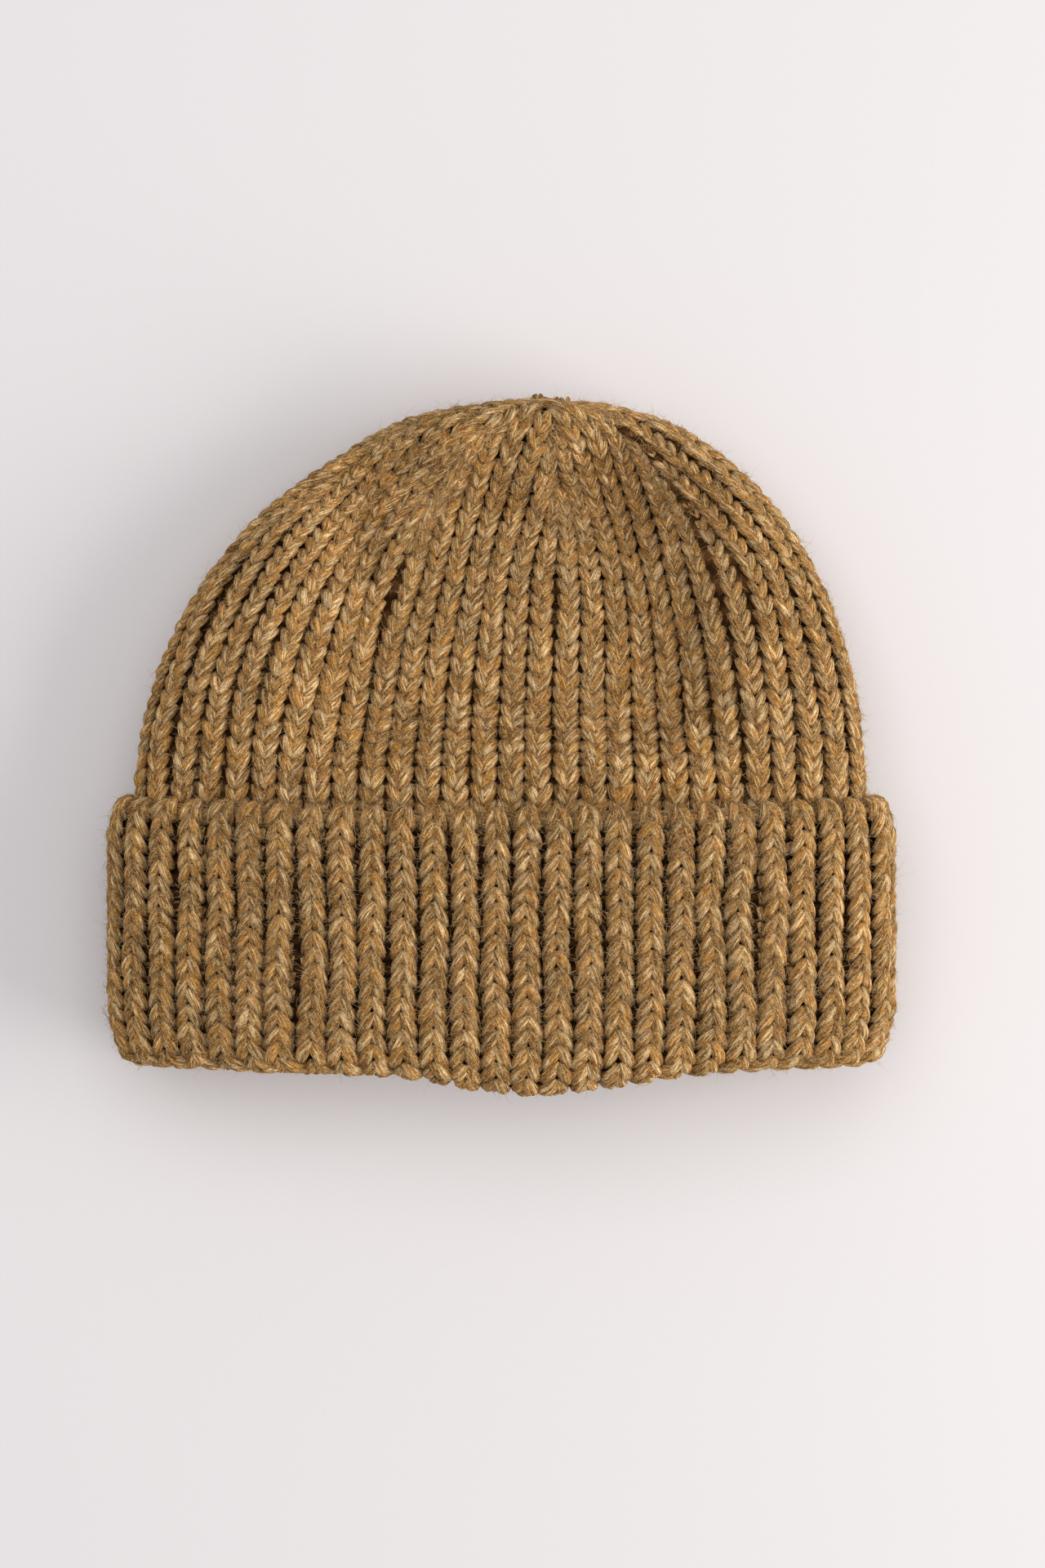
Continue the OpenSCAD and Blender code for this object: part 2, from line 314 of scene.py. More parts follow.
def loose_fibres(blocks, count, rng):
    """Fine wool hairs on the outer side of one of the blocks of tubes: each is a thin closed
    tube of three sides along p + L (t a + t^2 b), where a runs along the cloth and somewhat out
    of it, and b bends it aside and back."""
    shortest, longest, thick, stand = 0.9, 3.6, 0.058, 0.80
    block = blocks[rng.integers(0, len(blocks))]
    tube = rng.integers(0, len(block["points"]), count)
    rings, sides = block["points"].shape[1:3]
    ring = rng.integers(1, rings - 1, count)
    start = block["points"][tube, ring, rng.integers(1, sides // 2, count)]
    outward = unit(start - block["points"][tube, ring].mean(axis=1))
    drift = rng.normal(0, 1, (count, 3))
    drift = unit(drift - outward * np.sum(drift * outward, axis=-1, keepdims=True))
    rise = stand * rng.uniform(0.2, 1.0, (count, 1))
    bend = rng.normal(0, 0.45, (count, 3)) - outward * rise * 0.9
    reach = rng.uniform(shortest, longest, (count, 1, 1))
    t = np.linspace(0, 1, 3)[None, :, None]
    lean = drift * 0.8 + outward * rise
    centre = start[:, None] + reach * (t * lean[:, None] + t ** 2 * bend[:, None])
    normal = np.broadcast_to(outward[:, None], centre.shape) + 0.01 * drift[:, None]
    radius = np.broadcast_to(thick * (1 - 0.6 * t[..., 0]), (count, 3))
    hairs = yarn_tubes(centre, normal, radius, 3, rng, flat=1.0)
    hairs["tint"] = hairs["tint"] * 0.3 + (hair_mark + 0.25)
    # Hairs stand clear of the cloth, so they get no painted shade
    hairs["deep"] = hairs["deep"] * 0.0
    return hairs


def fuzz(blocks, bunches, rng):
    """Loose fibres all over the blocks, in bunches of twelve."""
    return [loose_fibres(blocks, 12, rng) for _ in range(bunches)]


def tube_faces(block, first):
    """Corner indices, corner counts and UVs of a block of tubes whose points start at first."""
    tubes, rings, sides = block["points"].shape[:3]
    grid = first + np.arange(tubes * rings * sides).reshape(tubes, rings, sides)
    nxt = np.roll(grid, -1, axis=2)
    quads = np.stack([grid[:, :-1], grid[:, 1:], nxt[:, 1:], nxt[:, :-1]], axis=-1)
    u0 = np.broadcast_to(np.arange(sides) / sides, (tubes, rings - 1, sides))
    u1 = u0 + 1 / sides
    v0, v1 = (np.broadcast_to(block["along"][:, part, None], u0.shape)
              for part in (slice(None, -1), slice(1, None)))
    quad_uv = np.stack([np.stack(pair, -1) for pair in ((u0, v0), (u0, v1), (u1, v1), (u1, v0))], axis=-2)
    caps = np.stack([grid[:, 0], grid[:, -1, ::-1]], axis=1).reshape(-1, sides)
    cap_u = np.broadcast_to(np.arange(sides) / sides, (tubes, 2, sides))
    cap_v = np.broadcast_to(block["along"][:, [0, -1], None], cap_u.shape)
    cap_uv = np.stack([cap_u, cap_v], axis=-1)
    corners = np.concatenate([quads.reshape(-1), caps.reshape(-1)])
    counts = np.concatenate([np.full(quads[..., 0].size, 4), np.full(len(caps), sides)])
    return corners, counts, np.concatenate([quad_uv.reshape(-1, 2), cap_uv.reshape(-1, 2)])


def slab_faces(rows, cols, closed):
    """Corner indices of a slab: a face grid and a back grid of points, joined round the rim. A
    closed slab is a ring whose last column meets the first."""
    index = np.arange(2 * rows * cols).reshape(2, rows, cols)
    if closed:
        index = np.concatenate([index, index[:, :, :1]], axis=2)
    face, back = index
    parts = [
        [face[:-1, :-1], face[:-1, 1:], face[1:, 1:], face[1:, :-1]],
        [back[:-1, :-1], back[1:, :-1], back[1:, 1:], back[:-1, 1:]],
        [face[0, 1:], face[0, :-1], back[0, :-1], back[0, 1:]],
        [face[-1, :-1], face[-1, 1:], back[-1, 1:], back[-1, :-1]]]
    if not closed:
        parts += [[face[:-1, 0], face[1:, 0], back[1:, 0], back[:-1, 0]],
                  [face[1:, -1], face[:-1, -1], back[:-1, -1], back[1:, -1]]]
    return np.concatenate([np.stack(part, axis=-1).reshape(-1, 4) for part in parts])


def fill_piece(name, points, corners, counts, uv, tint, deep, finish):
    """Puts points in millimetres, faces, UVs, tints and the depths that drive painted shade into
    a new smooth object. Nothing goes below the table."""
    table_gap = 0.02
    mesh = bpy.data.meshes.new(name)
    mesh.vertices.add(len(points))
    points = points.copy()
    points[:, 2] = np.maximum(points[:, 2], table_gap)
    mesh.vertices.foreach_set("co", (points / 1000).astype(np.float32).reshape(-1))
    mesh.loops.add(len(corners))
    mesh.loops.foreach_set("vertex_index", corners.astype(np.int32))
    mesh.polygons.add(len(counts))
    starts = np.concatenate([[0], np.cumsum(counts)[:-1]])
    mesh.polygons.foreach_set("loop_start", starts.astype(np.int32))
    mesh.polygons.foreach_set("use_smooth", np.ones(len(counts), bool))
    mesh.update(calc_edges=True)
    mesh.uv_layers.new(name="yarn").data.foreach_set("uv", uv.astype(np.float32).reshape(-1))
    for key, values in (("tint", tint), ("deep", deep)):
        shade = mesh.attributes.new(key, "FLOAT", "POINT")
        shade.data.foreach_set("value", values.astype(np.float32))
    mesh.materials.append(finish)
    piece = bpy.data.objects.new(name, mesh)
    studio.collection.objects.link(piece)
    return piece


def yarn_piece(name, blocks, finish):
    """One object from blocks of closed yarn tubes."""
    points, corners, counts, uvs, tints, depths, first = [], [], [], [], [], [], 0
    for block in blocks:
        corner, count, uv = tube_faces(block, first)
        rings, sides = block["points"].shape[1:3]
        points.append(block["points"].reshape(-1, 3))
        tints.append(np.repeat(block["tint"], rings * sides))
        depths.append(np.repeat(block["deep"].reshape(-1), sides))
        corners.append(corner)
        counts.append(count)
        uvs.append(uv)
        first += len(points[-1])
    parts = (points, corners, counts, uvs, tints, depths)
    return fill_piece(name, *map(np.concatenate, parts), finish)


def ground_piece(name, surface, shares, ts, finish, closed=False):
    """Slab of the cloth between its two faces of ribs, over a grid of shares and places t. Its
    UVs count the ribs across and sixteen strands for each unit of t."""
    share, t = np.meshgrid(shares, ts)
    sides = np.stack([surface(share, t, ground_top), surface(share, t, ground_bottom)])
    rows, cols = share.shape
    corners = slab_faces(rows, cols, closed)
    r, c = rows // 2, cols // 2
    face, back = sides
    normal = np.cross(face[r, c + 1] - face[r, c], face[r + 1, c] - face[r, c])
    if np.dot(normal, face[r, c] - back[r, c]) < 0:
        corners = corners[:, ::-1]
    uv_grid = np.broadcast_to(np.stack([share * ribs, t * 16], axis=-1), (2, rows, cols, 2))
    uv = uv_grid.reshape(-1, 2)[corners.reshape(-1)]
    points = sides.reshape(-1, 3)
    counts = np.full(len(corners), 4)
    flat = np.zeros(len(points))
    return fill_piece(name, points, corners.reshape(-1), counts, uv, flat, flat, finish)


class Number:
    """A number inside a material. Sums, differences and products of numbers, written as Python
    expressions, become Math nodes."""

    def __init__(self, finish, socket):
        self.finish = finish
        self.socket = socket

    def __add__(self, other):
        return self.finish.work("ADD", self, other)

    __radd__ = __add__

    def __sub__(self, other):
        return self.finish.work("SUBTRACT", self, other)

    def __rsub__(self, other):
        return self.finish.work("SUBTRACT", other, self)

    def __mul__(self, other):
        return self.finish.work("MULTIPLY", self, other)

    __rmul__ = __mul__


class Finish:
    """A material under construction: node() adds any node, and shader holds its main shader."""

    def __init__(self, name):
        self.material = bpy.data.materials.new(name)
        self.material.use_nodes = True
        self.tree = self.material.node_tree
        self.shader = self.tree.nodes["Principled BSDF"]

    def node(self, kind, settings=None, inputs=None, out=0):
        """Adds a node: settings first, then its inputs by place or name, each a value or a
        Number, and gives back one output."""
        made = self.tree.nodes.new(kind)
        for key, value in (settings or {}).items():
            setattr(made, key, value)
        pairs = inputs.items() if isinstance(inputs, dict) else enumerate(inputs or [])
        for key, value in pairs:
            self.feed(made.inputs[key], value)
        return Number(self, made.outputs[out])

    def feed(self, socket, value):
        """Sets a socket to a value, or links it to a Number."""
        if isinstance(value, Number):
            self.tree.links.new(value.socket, socket)
        else:
            socket.default_value = value

    def work(self, operation, *numbers):
        """One step of arithmetic, as a Math node."""
        return self.node("ShaderNodeMath", {"operation": operation}, numbers)

    def place(self, *numbers):
        """A place made of three numbers."""
        return self.node("ShaderNodeCombineXYZ", None, numbers)

    def noise(self, place, scale, detail, roughness, distortion=0.0):
        """Noise at a place, from 0 to 1 and mostly near the middle."""
        return self.node("ShaderNodeTexNoise", {"noise_dimensions": "3D"},
                         {"Vector": place, "Scale": scale, "Detail": detail, "Roughness": roughness,
                          "Distortion": distortion})

    def mix(self, share, first, second):
        """First colour to second colour by a share from 0 to 1."""
        return self.node("ShaderNodeMix", {"data_type": "RGBA"}, {0: share, 6: first, 7: second}, out=2)

    def band(self, number, low, high):
        """0 below low to 1 above high, in a smooth step."""
        return self.node("ShaderNodeMapRange", {"interpolation_type": "SMOOTHSTEP"},
                         {0: number, 1: low, 2: high, 3: 0.0, 4: 1.0})

    def yarn_place(self):
        """Share of the way round the yarn and length along it, from the piece's own UV map."""
        uv = self.node("ShaderNodeUVMap", {"uv_map": "yarn"})
        around = self.node("ShaderNodeSeparateXYZ", None, [uv])
        return around, Number(self, around.socket.node.outputs[1])

    def surface(self, colour, height, strength, distance, values):
        """Gives the main shader its colour, a bump of a height, and its plain values."""
        bump = self.node("ShaderNodeBump", None,
                         {"Strength": strength, "Distance": distance, "Height": height})
        for key, value in {"Base Color": colour, "Normal": bump, **values}.items():
            self.feed(self.shader.inputs[key], value)
        return self.material


def toned(colour, share):
    """A colour made darker or lighter, as far as white."""
    return tuple(min(1.0, c * share) for c in colour[:3]) + (1.0,)


def wool(name, brown, ochre, cream, plies=3, shade=1.0):
    """Heathered wool yarn. Its plies wind round the tube, each a smooth ridge; brown, ochre and
    cream fibres run along them as noise that is drawn out along the yarn. Light and dark stray
    fibres lie in loops over it all: the lines where a coarser noise passes its middle. Each tube
    has its own tint, and painted shade darkens it where its depth is high."""
    twist, drawn_out = 0.014, 0.13
    pale, ginger = (0.86, 0.58, 0.27, 1.0), (0.70, 0.42, 0.15, 1.0)
    hair_colour = (0.76, 0.52, 0.26, 1.0)
    dark, light = toned(brown, 0.35), toned(cream, 1.35)
    finish = Finish(name)
    around, along = finish.yarn_place()
    tint = finish.node("ShaderNodeAttribute", {"attribute_name": "tint"}, out=2)
    deep = finish.node("ShaderNodeAttribute", {"attribute_name": "deep"}, out=2)
    wind = (around + along * twist) * (2 * math.pi)
    east, north = finish.work("COSINE", wind), finish.work("SINE", wind)
    lie = along * drawn_out + tint * 91.0
    bulk = finish.noise(finish.place(east, north, lie), 1.25, 3.0, 0.6)
    hair = finish.noise(finish.place(east * 3.4, north * 3.4, lie * 1.6), 1.5, 4.0, 0.7, 0.8)
    fleck = finish.noise(finish.place(east * 1.5 + 7.0, north * 1.5, lie * 1.15 + 31.0), 1.2, 2.0, 0.5)
    colour = finish.mix(finish.band(bulk + tint * 0.08, 0.36, 0.64), brown, ochre)
    colour = finish.mix(finish.band(fleck, 0.52, 0.60), colour, cream)
    colour = finish.mix(finish.band(hair, 0.54, 0.40) * 0.75, colour, dark)
    colour = finish.mix(finish.band(hair, 0.54, 0.66) * 0.75, colour, light)
    spot = finish.node("ShaderNodeTexCoord", out=3)
    fluff = finish.noise(spot, 1900.0, 3.0, 0.7, 1.2)
    patch = finish.noise(spot, 170.0, 2.0, 0.5)
    value = shade * (tint * 0.40 + 0.80) * (fluff * 2.3 - 0.15) * (patch * 0.8 + 0.62)
    # Painted shade: darker where the depth is high, at tucked-in leg ends, rib flanks and gutter strands
    value = value * (1 - deep * 0.47)
    colour = finish.node("ShaderNodeVectorMath", {"operation": "SCALE"}, {0: colour, 3: value})
    for scale, stray in ((330.0, ginger), (410.0, pale), (370.0, dark)):
        from_middle = finish.work("ABSOLUTE", finish.noise(spot, scale, 1.5, 0.6, 2.0) - 0.5)
        colour = finish.mix(finish.band(from_middle, 0.020, 0.006) * 0.6, colour, stray)
    colour = finish.mix(finish.work("GREATER_THAN", tint, hair_mark), colour, hair_colour)
    ply = finish.work("COSINE", wind * plies)
    height = ply * 0.3 + hair * 2.2 + bulk * 0.6 + fluff * 2.0
    return finish.surface(colour, height, 0.55, 0.0007, {
        "Roughness": 0.86, "Specular IOR Level": 0.12, "Sheen Weight": 0.08, "Sheen Roughness": 0.5,
        "Sheen Tint": (0.88, 0.58, 0.27, 1.0)})


def purl_ground(name, deep, strand):
    """Backs of the stitches between two ribs: short strands across the gutter, as a wave along
    the cloth. Its colours deep and strand are the wool darkened far below its own colour:
    painted shade of the gutter."""
    finish = Finish(name)
    around, along = finish.yarn_place()
    wave = finish.work("SINE", along * (2 * math.pi))
    fibre = finish.noise(finish.node("ShaderNodeTexCoord", out=3), 900.0, 4.0, 0.6)
    colour = finish.mix(finish.band(wave * 0.25 + fibre, 0.25, 0.85), deep, strand)
    return finish.surface(colour, wave * 0.5 + fibre, 0.8, 0.001,
                          {"Roughness": 0.95, "Specular IOR Level": 0.1})


def wander(run, rng, size):
    """Slow sideways drift along a rib: two sine waves of random phase."""
    a, b = rng.uniform(0, 2 * np.pi, 2)
    return size * (0.6 * np.sin(run / 9.0 + a) + 0.4 * np.sin(run / 4.3 + b))


def row_starts(path):
    """Where each row of stitches starts along a rib, as far as the rib reaches."""
    first = 0.30
    count = int((path["run"][-1] - 1.1 * row) / row - first) + 1
    return row * (first + np.arange(max(count, 0)))


# Half length and radius of the short strands at the bottom of a gutter, and the depth of painted shade
# that darkens them
bar_half, bar_r, bar_painted_shade = 2.1, 0.65, 1.6


def purl_bars(share, t, rng):
    """Backs of the stitches at the bottom of a gutter: one short strand across it in each row,
    sagging inwards at its middle."""
    path = rib_path(turned_cloth, share, t, 1)
    at = np.arange(0.5 * row, path["run"][-1] - 0.5 * row, row)
    at = at + rng.normal(0, 0.25, at.shape)
    ends = np.linspace(-1, 1, 5)
    way = ends[None, :, None]
    middle = read_path(path, "points", at)[:, None]
    across = unit(read_path(path, "across", at))[:, None]
    outward = unit(read_path(path, "normal", at))[:, None]
    forward = np.cross(across, outward)
    tilt = rng.normal(0, 0.3, (len(at), 1, 1))
    sag = rng.uniform(1.4, 2.2, (len(at), 1, 1))
    centre = (middle + across * (bar_half * way) + forward * tilt * way
              - outward * (sag * (1 - 0.4 * way ** 2)))
    radius = np.broadcast_to(bar_r * (1 - 0.25 * ends ** 2), centre.shape[:2])
    normal = np.broadcast_to(outward, centre.shape)
    bars = yarn_tubes(centre, normal, radius, 5, rng)
    # Painted shade: the gutter strands are darkened all along, as the gutter's shadow
    bars["deep"] = np.full(centre.shape[:2], bar_painted_shade)
    return bars


# Brown, ochre and cream fibres of the yarn
fibres = ((0.225, 0.084, 0.014, 1), (0.60, 0.262, 0.047, 1), (0.96, 0.655, 0.335, 1))
cuff_wool = wool("cuff_wool", *fibres, shade=0.97)
# The cuff's ground colours are the wool darkened to near black: painted shade of the deep gutters
cuff_shaded_ground_wool = purl_ground("cuff_purl_ground_painted_shade", (0.016, 0.006, 0.002, 1), (0.07, 0.030, 0.008, 1))

flap_r = box_mm("cuff_front")[1][0]
# Points along a path round the fold and up the band, and the sides of a tube of yarn where it
# shows and where it lies inside
turn_steps, band_steps = 60, 70
outer_sides, inner_sides = 8, 6
# Space between a path's points, a rib's sideways drift, and how much, where and over what length
# its stitches swell as they go round the fold
path_step, rib_drift = 0.8, 0.45
swell, swell_at, swell_over = 0.22, 1.3, 0.40
cuff_t = np.linspace(-edge_roll, 1, 96)
path_t = np.concatenate([cuff_t, np.linspace(1, 2, turn_steps)[1:], np.linspace(2, 3, band_steps)[1:]])
# Gutters of the front that lie open: x, y, half length along the rib and sideways push; and how
# far the push reaches to the sides
gutter_reach = 11
open_gutters = [(69.5, -48.0, 9.0, 1.5), (-55.0, -65.0, 15.0, 1.3)]
cuff_parts = {"front_left": [], "front_right": [], "back": [], "left_side": [], "right_side": []}
fold_blocks, band_blocks, hidden_band_blocks = [], [], []


def cuff_part(x, z):
    """Name of the part of the cuff that holds a rib at x, z."""
    if abs(x) > flap_r:
        return "left_side" if x < 0 else "right_side"
    if z < cuff_h / 2:
        return "back"
    return "front_left" if x < 0 else "front_right"


def part_gutters(path):
    """Pushes the ribs beside each open gutter of the front away from it."""
    points = path["points"]
    for x, y, half, push in open_gutters:
        off = points[:, 0] - x
        near = np.exp(-(off / gutter_reach) ** 2 - ((points[:, 1] - y) / half) ** 2)
        near = near * (points[:, 2] > cuff_h / 2)
        points[:, 0] += np.sign(off) * push * near


def inner_cloth(share, t, sink=rib_sink):
    """The cuff's cloth seen from its other face, sink millimetres inside that face."""
    return turned_cloth(share, t, layer - sink)


for rib in range(ribs):
    rng = np.random.default_rng(1000 + rib)
    share = middle_line + rib / ribs
    sway = wander(np.arange(len(path_t)) * path_step, rng, rib_drift)
    path = rib_path(turned_cloth, share, path_t, 1, sway)
    path["width"] = path["width"] * (1 + swell * np.exp(-((path_t - swell_at) / swell_over) ** 2))
    part_gutters(path)
    at_fold, at_band = path["run"][len(cuff_t) - 1], path["run"][len(cuff_t) + turn_steps - 2]
    starts = row_starts(path)
    centre, normal, radius = stitch_legs(path, starts, row, rng)
    middle = np.repeat(starts + row / 2, 2)
    in_cuff, in_band = middle < at_fold, middle >= at_band
    in_fold = ~in_cuff & ~in_band
    part = cuff_parts[cuff_part(path["points"][40, 0], path["points"][40, 2])]
    for chosen, blocks, sides in ((in_cuff, part, outer_sides), (in_fold, fold_blocks, outer_sides),
                                  (in_band, band_blocks, inner_sides)):
        tubes = yarn_tubes(centre[chosen], normal[chosen], radius[chosen], sides, rng)
        # Painted shade: each leg darkens towards its outer end, on the rib's flank beside the gutter
        tubes["deep"] = tubes["deep"] + 0.4 * np.linspace(0, 1, centre.shape[1]) ** 2
        blocks.append(tubes)
    bar_share = share + 0.5 / ribs
    for t, blocks in ((cuff_t, part), (np.linspace(2, 3, band_steps), band_blocks),
                      (np.linspace(1, 2, turn_steps), fold_blocks)):
        blocks.append(purl_bars(bar_share, t, rng))
    hidden = rib_path(inner_cloth, bar_share, cuff_t, -1)
    if cuff_part(hidden["points"][40, 0], hidden["points"][40, 2]).startswith("front"):
        part.append(rib_tubes(hidden, row_starts(hidden), row, inner_sides, rng, rings=6))
        facing = rib_path(inner_cloth, bar_share, np.linspace(1.8, 2.86, 60), -1)
        tubes = rib_tubes(facing, row_starts(facing), row, inner_sides, rng, rings=6)
        hidden_band_blocks.append(tubes)


def outer_tubes(blocks):
    """The blocks of yarn that show, and so carry loose hairs."""
    return [block for block in blocks if block["points"].shape[2] == outer_sides]


def flap_blend(piece, side):
    """Bakes the transform of a piece of the front flap into its mesh; nothing is bent."""
    side * (flap_r + 0.3) / 1000
    side * 0.020
    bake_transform(piece)


def top_share(x):
    """Share of the way round at which the cuff's upper half passes x."""
    shares = np.linspace(0.02, 0.48, 2000)
    return np.interp(-x, -cuff_ring(shares, rib_sink)[0], shares)


hair_rng = np.random.default_rng(77)
flap_start, flap_middle, flap_end = top_share(flap_r), top_share(0.0), top_share(-flap_r)
for name, blocks in cuff_parts.items():
    hairs = fuzz(outer_tubes(blocks), 560 if name.startswith("front") else 260, hair_rng)
    piece = yarn_piece("cuff_" + name + "_ribs", blocks + hairs, cuff_wool)
    if name.startswith("front"):
        side = -1 if name == "front_left" else 1
        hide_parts("cuff_front")
        flap_blend(piece, side)
        ends = (flap_middle, flap_end) if side < 0 else (flap_start, flap_middle)
        ground = ground_piece("cuff_" + name + "_ground", turned_cloth, np.linspace(*ends, 40),
                              np.linspace(0.01, 1, 40), cuff_shaded_ground_wool)
        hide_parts("cuff_front")
        flap_blend(ground, side)
    else:
        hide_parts("cuff_" + name)
        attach(piece, "hat")

wrap_ground = ground_piece("cuff_wrap_ground", turned_cloth, np.linspace(flap_end, 1 + flap_start, 90),
                           np.linspace(0.01, 1, 40), cuff_shaded_ground_wool)
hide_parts("cuff_back", "cuff_left_side", "cuff_right_side")
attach(wrap_ground, "hat")

# Cast-on edge. The first row of the knitting: two strands of the yarn twisted into a chain that
# dips into each gutter and rises over each rib. It stays elastic and is the cuff's free edge.

edge_yarn_r = 1.3
# Place on the cloth of the outer strand, how far from it the inner one lies, and their sway
edge_t, strand_gap, strand_sway = -0.042, 0.030, 0.008


def edge_strands(shares, rng):
    """Two strands round the free edge, one outside the other. Over a rib both stand high and
    far out, as the cosine of the rib count; in the gutters they dip, and the inner one crosses."""
    count = (shares - middle_line) * ribs
    over_rib = np.cos(2 * np.pi * count)
    centres = []
    for inner in (0, 1):
        drift = 0.4 * np.sin(2 * np.pi * 0.37 * count + 2.0 * inner)
        t = edge_t + strand_gap * inner - strand_sway * (over_rib - 0.3 * drift) * (1 - 1.4 * inner)
        lift = (1.7 - 0.7 * inner) * over_rib + 0.35 * drift - 0.9
        centres.append(turned_cloth(shares, t, rib_sink - lift))
    centre = np.stack(centres)
    step = 0.1 / ribs
    across = turned_cloth(shares + step, edge_t) - turned_cloth(shares - step, edge_t)
    normal = unit(np.cross(across, np.array([0.0, -1.0, 0.0])))
    radius = edge_yarn_r * (1 + 0.12 * over_rib + 0.05 * rng.normal(0, 1, (2, 1)))
    return yarn_tubes(centre, np.broadcast_to(normal, centre.shape), radius, 7, rng)


edge_spans = {"front_right": (flap_start, flap_middle), "front_left": (flap_middle, flap_end),
              "wrap": (flap_end, 1 + flap_start)}
for name, (start, end) in edge_spans.items():
    rng = np.random.default_rng(300 + len(name))
    shares = np.linspace(start, end, int((end - start) * ribs * 18))
    strands = [edge_strands(shares, rng)]
    piece = yarn_piece("cast_on_edge_" + name, strands + [loose_fibres(strands, 420, rng)], cuff_wool)
    if name == "wrap":
        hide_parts("cast_on_edge_back")
        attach(piece, "hat")
    else:
        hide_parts("cast_on_edge_front")
        flap_blend(piece, -1 if name == "front_left" else 1)

# Fold at the brim. The cuff's cloth turns in here without a seam: the ribs run round it, and
# the fold is fuller at the middle of the front than at the sides.

hairs = fuzz(outer_tubes(fold_blocks), 110, hair_rng)
brim_fold = yarn_piece("brim_fold_ribs", fold_blocks + hairs, cuff_wool)
fold_ground = ground_piece("brim_fold_ground", turned_cloth, np.linspace(0, 1, 180, endpoint=False),
                           np.linspace(1, 2, 16), cuff_shaded_ground_wool, closed=True)
for piece in (brim_fold, fold_ground):
    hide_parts("brim_fold")
    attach(piece, "hat")

# Band inside the cuff. The same rib runs on up to the crown's first row and grips the head; its
# outer face shows only when the cuff is lifted.

inner_band = yarn_piece("inner_band_ribs", band_blocks, cuff_wool)
band_face = yarn_piece("inner_band_outer_face", hidden_band_blocks, cuff_wool)
band_ground = ground_piece("inner_band_ground", turned_cloth, np.linspace(0, 1, 180, endpoint=False),
                           np.linspace(2, 3, 30), cuff_shaded_ground_wool, closed=True)
for piece in (inner_band, band_face, band_ground):
    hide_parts("inner_band")
    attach(piece, "hat")

# Crown. Eight gores of seven ribs each; ribs end in pairs along the decrease lines between the
# gores until one rib of each gore reaches the tip. Same yarn, looser than the cuff.

gores = 8
gore_wales = ribs // gores
gore_names = ["middle_left", "left_front", "left_back", "back_left", "back_right", "right_back",
              "right_front", "middle_right"]
# Height, power of the dome's outline, sideways lean and lift of the tip, and the share of the
# length over which the crown comes out of the cuff
crown_h, dome_n, tip_lean, tip_z, settle = 49.0, 2.1, 11.0, 20.0, 0.25
last_row = math.radians(84)
tip_y = box_mm("crown_gather")[1][1]
crown_l = tip_y - crown_y0 - 0.6
under_l = 60.0
crown_row = 4.55
# Raised folds along two decrease lines: their heights, how far they run out on the gentle and on
# the steep side, and the crease beside them
left_fold, right_fold = 4.3, 4.6
gentle_run, steep_run = 14.0, 3.4
crease_off, crease_deep, crease_wide = 2.8, 1.2, 2.8
crown_wool = wool("crown_wool", *fibres, shade=0.99)
# The crown's ground colours are the wool darkened to dark brown: painted shade of the gutters between its
# ribs
crown_shaded_ground_wool = purl_ground("crown_purl_ground_painted_shade", (0.040, 0.016, 0.004, 1), (0.15, 0.066, 0.018, 1))


def fold_line(share, line, girth, side, height):
    """Raised fold along a decrease line: a long slope on one side of it, and on the other a
    steep step down into a crease."""
    away = side * (share - line) * girth
    slope = np.where(away > 0, np.exp(-away / gentle_run), np.exp(-(away / steep_run) ** 2))
    return height * slope - crease_deep * np.exp(-((away + crease_off) / crease_wide) ** 2)


def between(v, start, full, fade, end):
    """S-shaped rise from 0 at start to 1 at full, and fall from 1 at fade to 0 at end."""
    return smooth((v - start) / (full - start)) * (1 - smooth((v - fade) / (end - fade)))


def mound(x, y, height, middle, spread):
    """Bell-shaped rise: height times e to minus the squares of the distances from the middle,
    each over its spread."""
    return height * np.exp(-((x - middle[0]) / spread[0]) ** 2 - ((y - middle[1]) / spread[1]) ** 2)


def settle_front(points, share, girth):
    """Lets the front of the crown sink in a flat-bottomed hollow between its two sides, with a
    second hollow to the right of the tip, and raises the folds along two decrease lines."""
    x, y, z = points[..., 0], points[..., 1], points[..., 2]
    top = smooth(np.sin(2 * np.pi * np.clip(share % 1, 0, 0.5)) * 2)
    trough = -17.0 * between(x, -67, -38, 38, 74) * between(y, -14, 12, 66, 94)
    bump = mound(x, y, 2.5, (8, 25), (22, 30))
    hollow = mound(x, y, -9.0, (27, 72), (14, 18))
    folds = (fold_line(share, middle_line + 1 / gores, girth, 1, left_fold)
             + fold_line(share, middle_line - 1 / gores, girth, -1, right_fold))
    folds = folds * between(y, 34, 52, 90, 101)
    return np.stack([x, y, z + top * (trough + bump + hollow + folds)], axis=-1)


def crown_girth(u):
    """Length round the crown at row share u."""
    shares = np.linspace(0, 1, 181)
    ring = bare_crown(shares[None, :], np.atleast_1d(u)[:, None], 0.0)
    return np.linalg.norm(np.diff(ring, axis=1), axis=-1).sum(axis=1)


